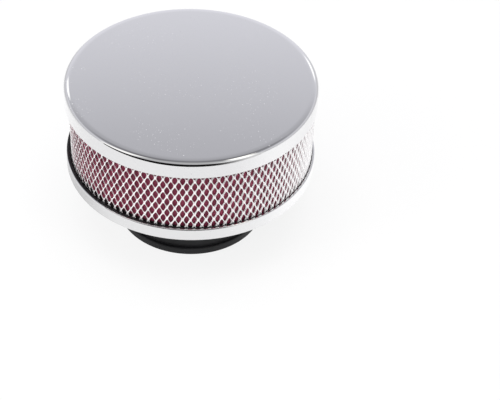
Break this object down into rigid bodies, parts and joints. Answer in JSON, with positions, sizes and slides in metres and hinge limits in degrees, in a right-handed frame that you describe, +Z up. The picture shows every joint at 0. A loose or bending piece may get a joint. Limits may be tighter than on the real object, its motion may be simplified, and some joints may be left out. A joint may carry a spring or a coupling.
{
  "type": "clamp-on air filter",
  "caption": "Round clamp-on performance air filter with a chromed cap, red filter sleeve behind an expanded-metal guard, and a black rubber neck with a chromed base band.",
  "frame": {"origin": "centre of the neck's open end, on the surface that the filter stands on", "axes": "+Z up along the neck and pack towards the cap; X and Y lie in the plane of the neck's end and are interchangeable"},
  "size_m": [0.0764, 0.0764, 0.05],
  "materials": {
    "cap_chrome": "polished chrome plate on drawn steel",
    "seal_black": "smooth poured urethane",
    "guard_metal": "bright plated expanded sheet",
    "filter_red": "oiled red filter cloth",
    "base_rubber": "satin moulded rubber"
  },
  "bodies": {
    "root": {"top_cap": "cap_chrome", "top_seal": "seal_black", "outer_guard": "guard_metal", "filter_element": "filter_red", "inner_screen": "guard_metal", "rubber_base": "base_rubber", "base_band": "cap_chrome"}
  },
  "joints": []
}
